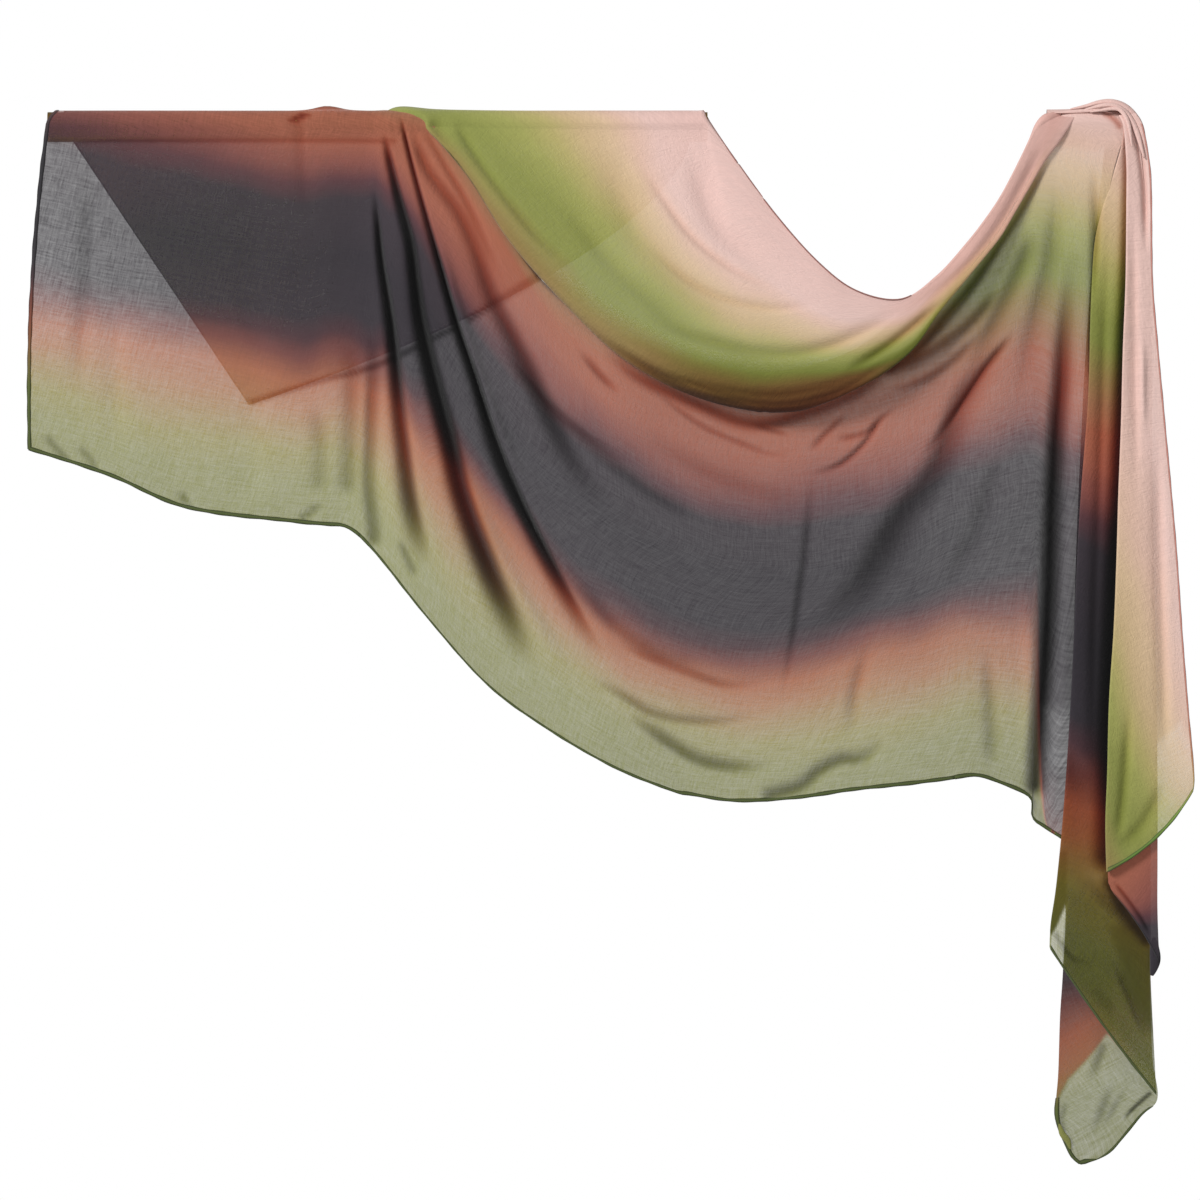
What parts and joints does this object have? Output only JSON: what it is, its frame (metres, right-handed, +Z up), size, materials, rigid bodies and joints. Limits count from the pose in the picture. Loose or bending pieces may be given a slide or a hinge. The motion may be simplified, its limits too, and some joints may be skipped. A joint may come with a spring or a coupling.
{
  "type": "hijab draped over two wall rails",
  "caption": "Long sheer ombre hijab draped over a long wall rail and a short one, with a cowl swag between them and tails below",
  "frame": {"origin": "on the long rail's axis, at the middle of its length", "axes": "+X to the viewer's right along the rails, +Z up, +Y back to the wall"},
  "size_m": [1.2457, 0.1251, 1.1395],
  "materials": {
    "ombre_cloth": "sheer matte slub plain weave, striped ombre from pink through green, rust and charcoal to sage",
    "rail_brass": "satin"
  },
  "bodies": {
    "root": {"long_rail": "rail_brass", "short_rail": "rail_brass", "back_flap": "ombre_cloth", "left_panel": "ombre_cloth", "pleat_fan": "ombre_cloth", "swag_panel": "ombre_cloth", "right_panel": "ombre_cloth", "cowl_on_rail": "ombre_cloth", "cowl_drop": "ombre_cloth", "shoulder_roll": "ombre_cloth", "rail_twist": "ombre_cloth", "inner_tail": "ombre_cloth", "middle_tail": "ombre_cloth", "front_tail": "ombre_cloth", "back_tail": "ombre_cloth"}
  },
  "joints": []
}
